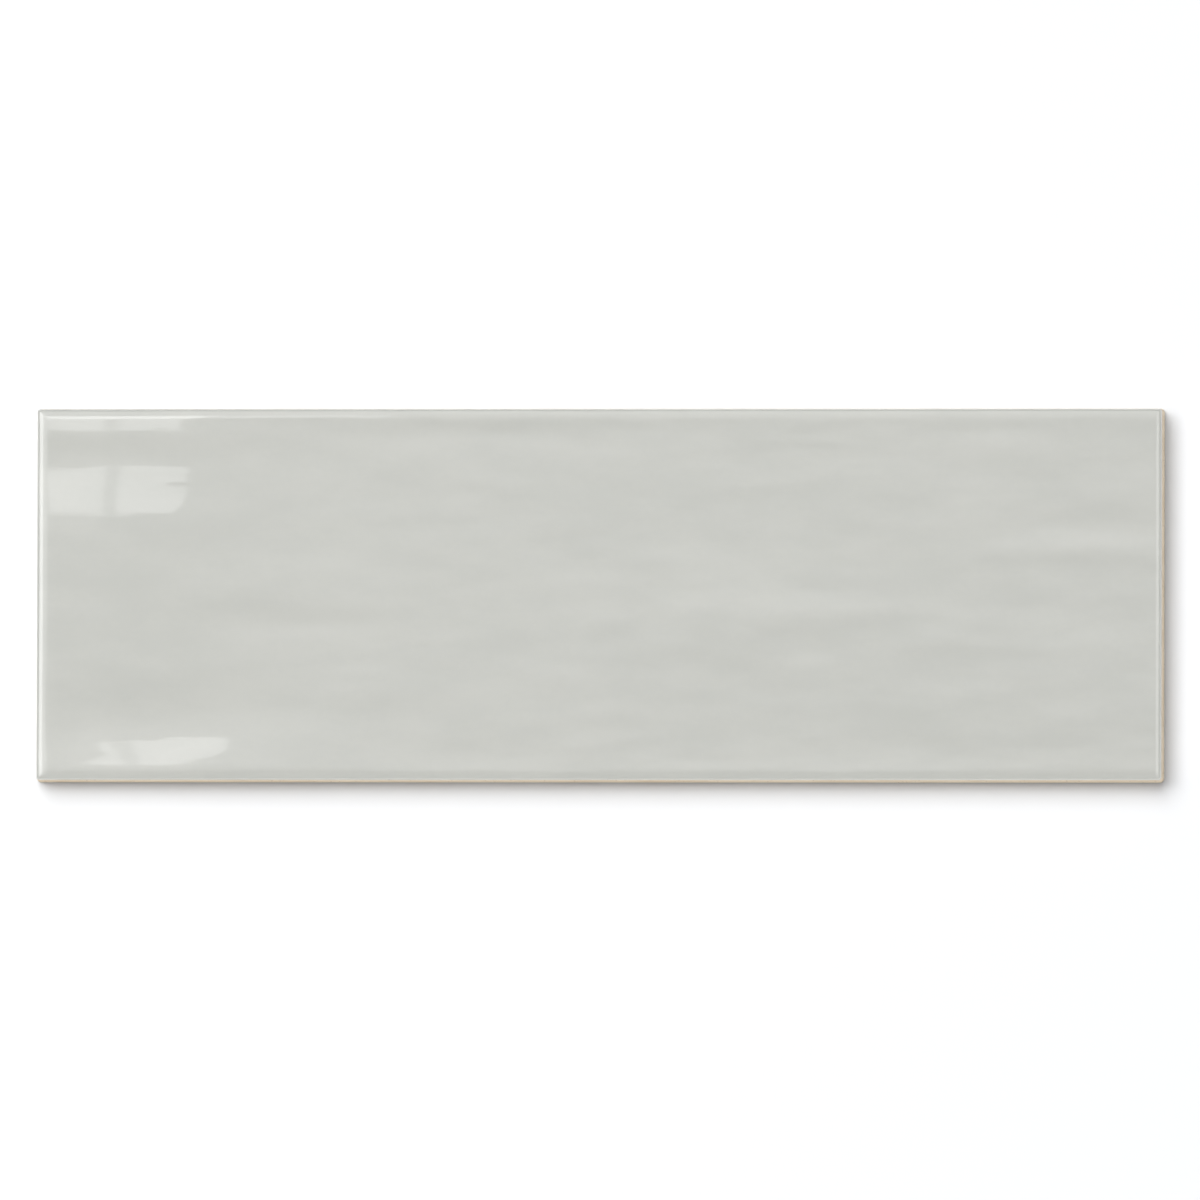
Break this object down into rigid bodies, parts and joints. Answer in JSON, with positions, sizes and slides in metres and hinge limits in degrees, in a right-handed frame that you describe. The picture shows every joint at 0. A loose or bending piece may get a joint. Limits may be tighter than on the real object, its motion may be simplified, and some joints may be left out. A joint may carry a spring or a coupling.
{
  "type": "ceramic wall tile",
  "caption": "Long glazed ceramic wall tile with a softly waved face, rolled rims, bare clay sides and a ribbed back.",
  "frame": {"origin": "centre of the back plane, on the plane of the rib tops that the adhesive meets", "axes": "+X along the length, +Y across the width, +Z out of the glazed face"},
  "size_m": [0.298, 0.0988, 0.0092],
  "materials": {
    "glazed_clay": "glossy pale grey-green glaze over the face and upper sides, bare buff clay below and on the back"
  },
  "bodies": {
    "root": {"tile": "glazed_clay"}
  },
  "joints": []
}
